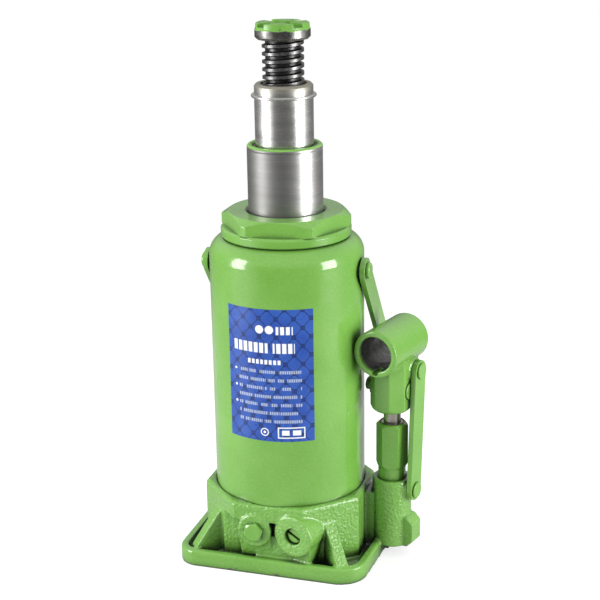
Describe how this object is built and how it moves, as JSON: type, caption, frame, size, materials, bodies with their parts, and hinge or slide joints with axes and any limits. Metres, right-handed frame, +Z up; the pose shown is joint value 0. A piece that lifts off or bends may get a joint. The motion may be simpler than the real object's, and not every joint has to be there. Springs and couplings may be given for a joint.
{
  "type": "hydraulic bottle jack",
  "caption": "Green hydraulic bottle jack with telescoping rams, a threaded extension screw and saddle, a side pump with a handle socket, a release valve and a carry bail.",
  "frame": {"origin": "on the ram axis at the level of the ground under the base", "axes": "+Z up along the ram axis, -Y towards the operator and the valve side, +X towards the pump"},
  "size_m": [0.1425, 0.1132, 0.3234],
  "materials": {
    "painted_casting": "thick gloss green paint over a cast, orange-peel surface",
    "painted_steel": "smooth gloss green paint",
    "polished_steel": "ground and polished, fine turning lines",
    "raw_steel": "bare machined steel, lightly oxidised",
    "black_steel": "black oxide, oily sheen",
    "painted_saddle": "bare steel side with worn green paint on the bevel and face",
    "rubber": "matt black rubber",
    "fibre": "pale pressed fibre gasket",
    "copper": "soft annealed copper washer",
    "sticker": null
  },
  "bodies": {
    "jack_body": {"base_casting": "painted_casting", "reservoir_tube": "painted_steel", "reservoir_gasket": "fibre", "pressure_cylinder": "raw_steel", "cylinder_gasket": "copper", "top_nut": "painted_steel", "rod_seal": "rubber", "rod_wiper": "rubber", "pump_cylinder": "painted_steel", "pump_gasket": "copper", "pump_wiper": "raw_steel", "link_low_pin": "painted_steel", "relief_plug": "painted_steel", "relief_spring": "raw_steel", "relief_ball": "polished_steel", "carry_handle_rivets": "painted_steel", "filler_plug": "rubber", "label": "sticker"},
    "outer_ram": {"outer_ram": "polished_steel", "outer_ram_piston": "raw_steel", "outer_piston_seal": "rubber"},
    "inner_ram": {"inner_ram": "polished_steel", "inner_piston_seal": "rubber", "inner_stop_ring": "polished_steel"},
    "screw_carrier": {"screw_stop_ring": "black_steel"},
    "screw": {"extension_screw": "black_steel", "saddle": "painted_saddle"},
    "plunger": {"plunger": "polished_steel", "plunger_seal": "rubber"},
    "handle_socket": {"handle_socket": "painted_steel", "plunger_pin": "painted_steel", "plunger_pin_washer": "raw_steel", "split_pin": "raw_steel", "link_top_pin": "painted_steel"},
    "link": {"link_strap": "painted_steel"},
    "release_ball": {"release_ball": "polished_steel"},
    "release_stem": {"release_stem": "raw_steel", "release_seal": "rubber"},
    "suction_ball": {"suction_ball": "polished_steel"},
    "delivery_ball": {"delivery_ball": "polished_steel"},
    "carry_handle": {"carry_handle": "painted_steel"}
  },
  "joints": [
    {"name": "outer_ram_lift", "type": "slide", "parent": "jack_body", "child": "outer_ram", "axis": [0, 0, 1], "range_m": [-0.0365, 0.085]},
    {"name": "inner_ram_lift", "type": "slide", "parent": "outer_ram", "child": "inner_ram", "axis": [0, 0, 1], "range_m": [-0.0303, 0.103]},
    {"name": "screw_lift", "type": "slide", "parent": "inner_ram", "child": "screw_carrier", "axis": [0, 0, 1], "range_m": [-0.0246, 0.0357]},
    {"name": "screw_turn", "type": "hinge", "parent": "screw_carrier", "child": "screw", "pos_m": [0, 0, 0.3], "axis": [0, 0, 1], "range_deg": [-2010, 2915]},
    {"name": "pump_stroke", "type": "slide", "parent": "jack_body", "child": "plunger", "axis": [0, 0, 1], "range_m": [-0.00121, 0.00752]},
    {"name": "handle_swing", "type": "hinge", "parent": "plunger", "child": "handle_socket", "pos_m": [0.064, 0.003, 0.1075], "axis": [-0.9659, 0.2588, 0], "range_deg": [-8, 50]},
    {"name": "link_swing", "type": "hinge", "parent": "jack_body", "child": "link", "pos_m": [0.07827, 0.00021, 0.0435], "axis": [-0.9659, 0.2588, 0], "range_deg": [-0.9, 5.6]},
    {"name": "release_travel", "type": "slide", "parent": "jack_body", "child": "release_ball", "axis": [-0.2588, -0.9659, 0], "range_m": [0, 0.00225]},
    {"name": "release_turn", "type": "hinge", "parent": "release_ball", "child": "release_stem", "pos_m": [0.01595, -0.0502, 0.0274], "axis": [-0.2588, -0.9659, 0], "range_deg": [0, 541]},
    {"name": "suction_ball_lift", "type": "slide", "parent": "jack_body", "child": "suction_ball", "axis": [0, 0, 1], "range_m": [0, 0.001]},
    {"name": "delivery_ball_lift", "type": "slide", "parent": "jack_body", "child": "delivery_ball", "axis": [0, 0, 1], "range_m": [0, 0.001]},
    {"name": "carry_handle_swing", "type": "hinge", "parent": "jack_body", "child": "carry_handle", "pos_m": [0, -0.002, 0.181], "axis": [1, 0, 0], "range_deg": [0, 118]}
  ],
  "couplings": [
    {"joint": "screw_lift", "follows": "screw_turn", "m_per_rad": 0.00070028},
    {"joint": "pump_stroke", "follows": "handle_swing", "m_per_rad": 0.0086},
    {"joint": "link_swing", "follows": "handle_swing", "ratio": 0.1113},
    {"joint": "release_turn", "follows": "release_travel", "rad_per_m": 4188.8}
  ]
}
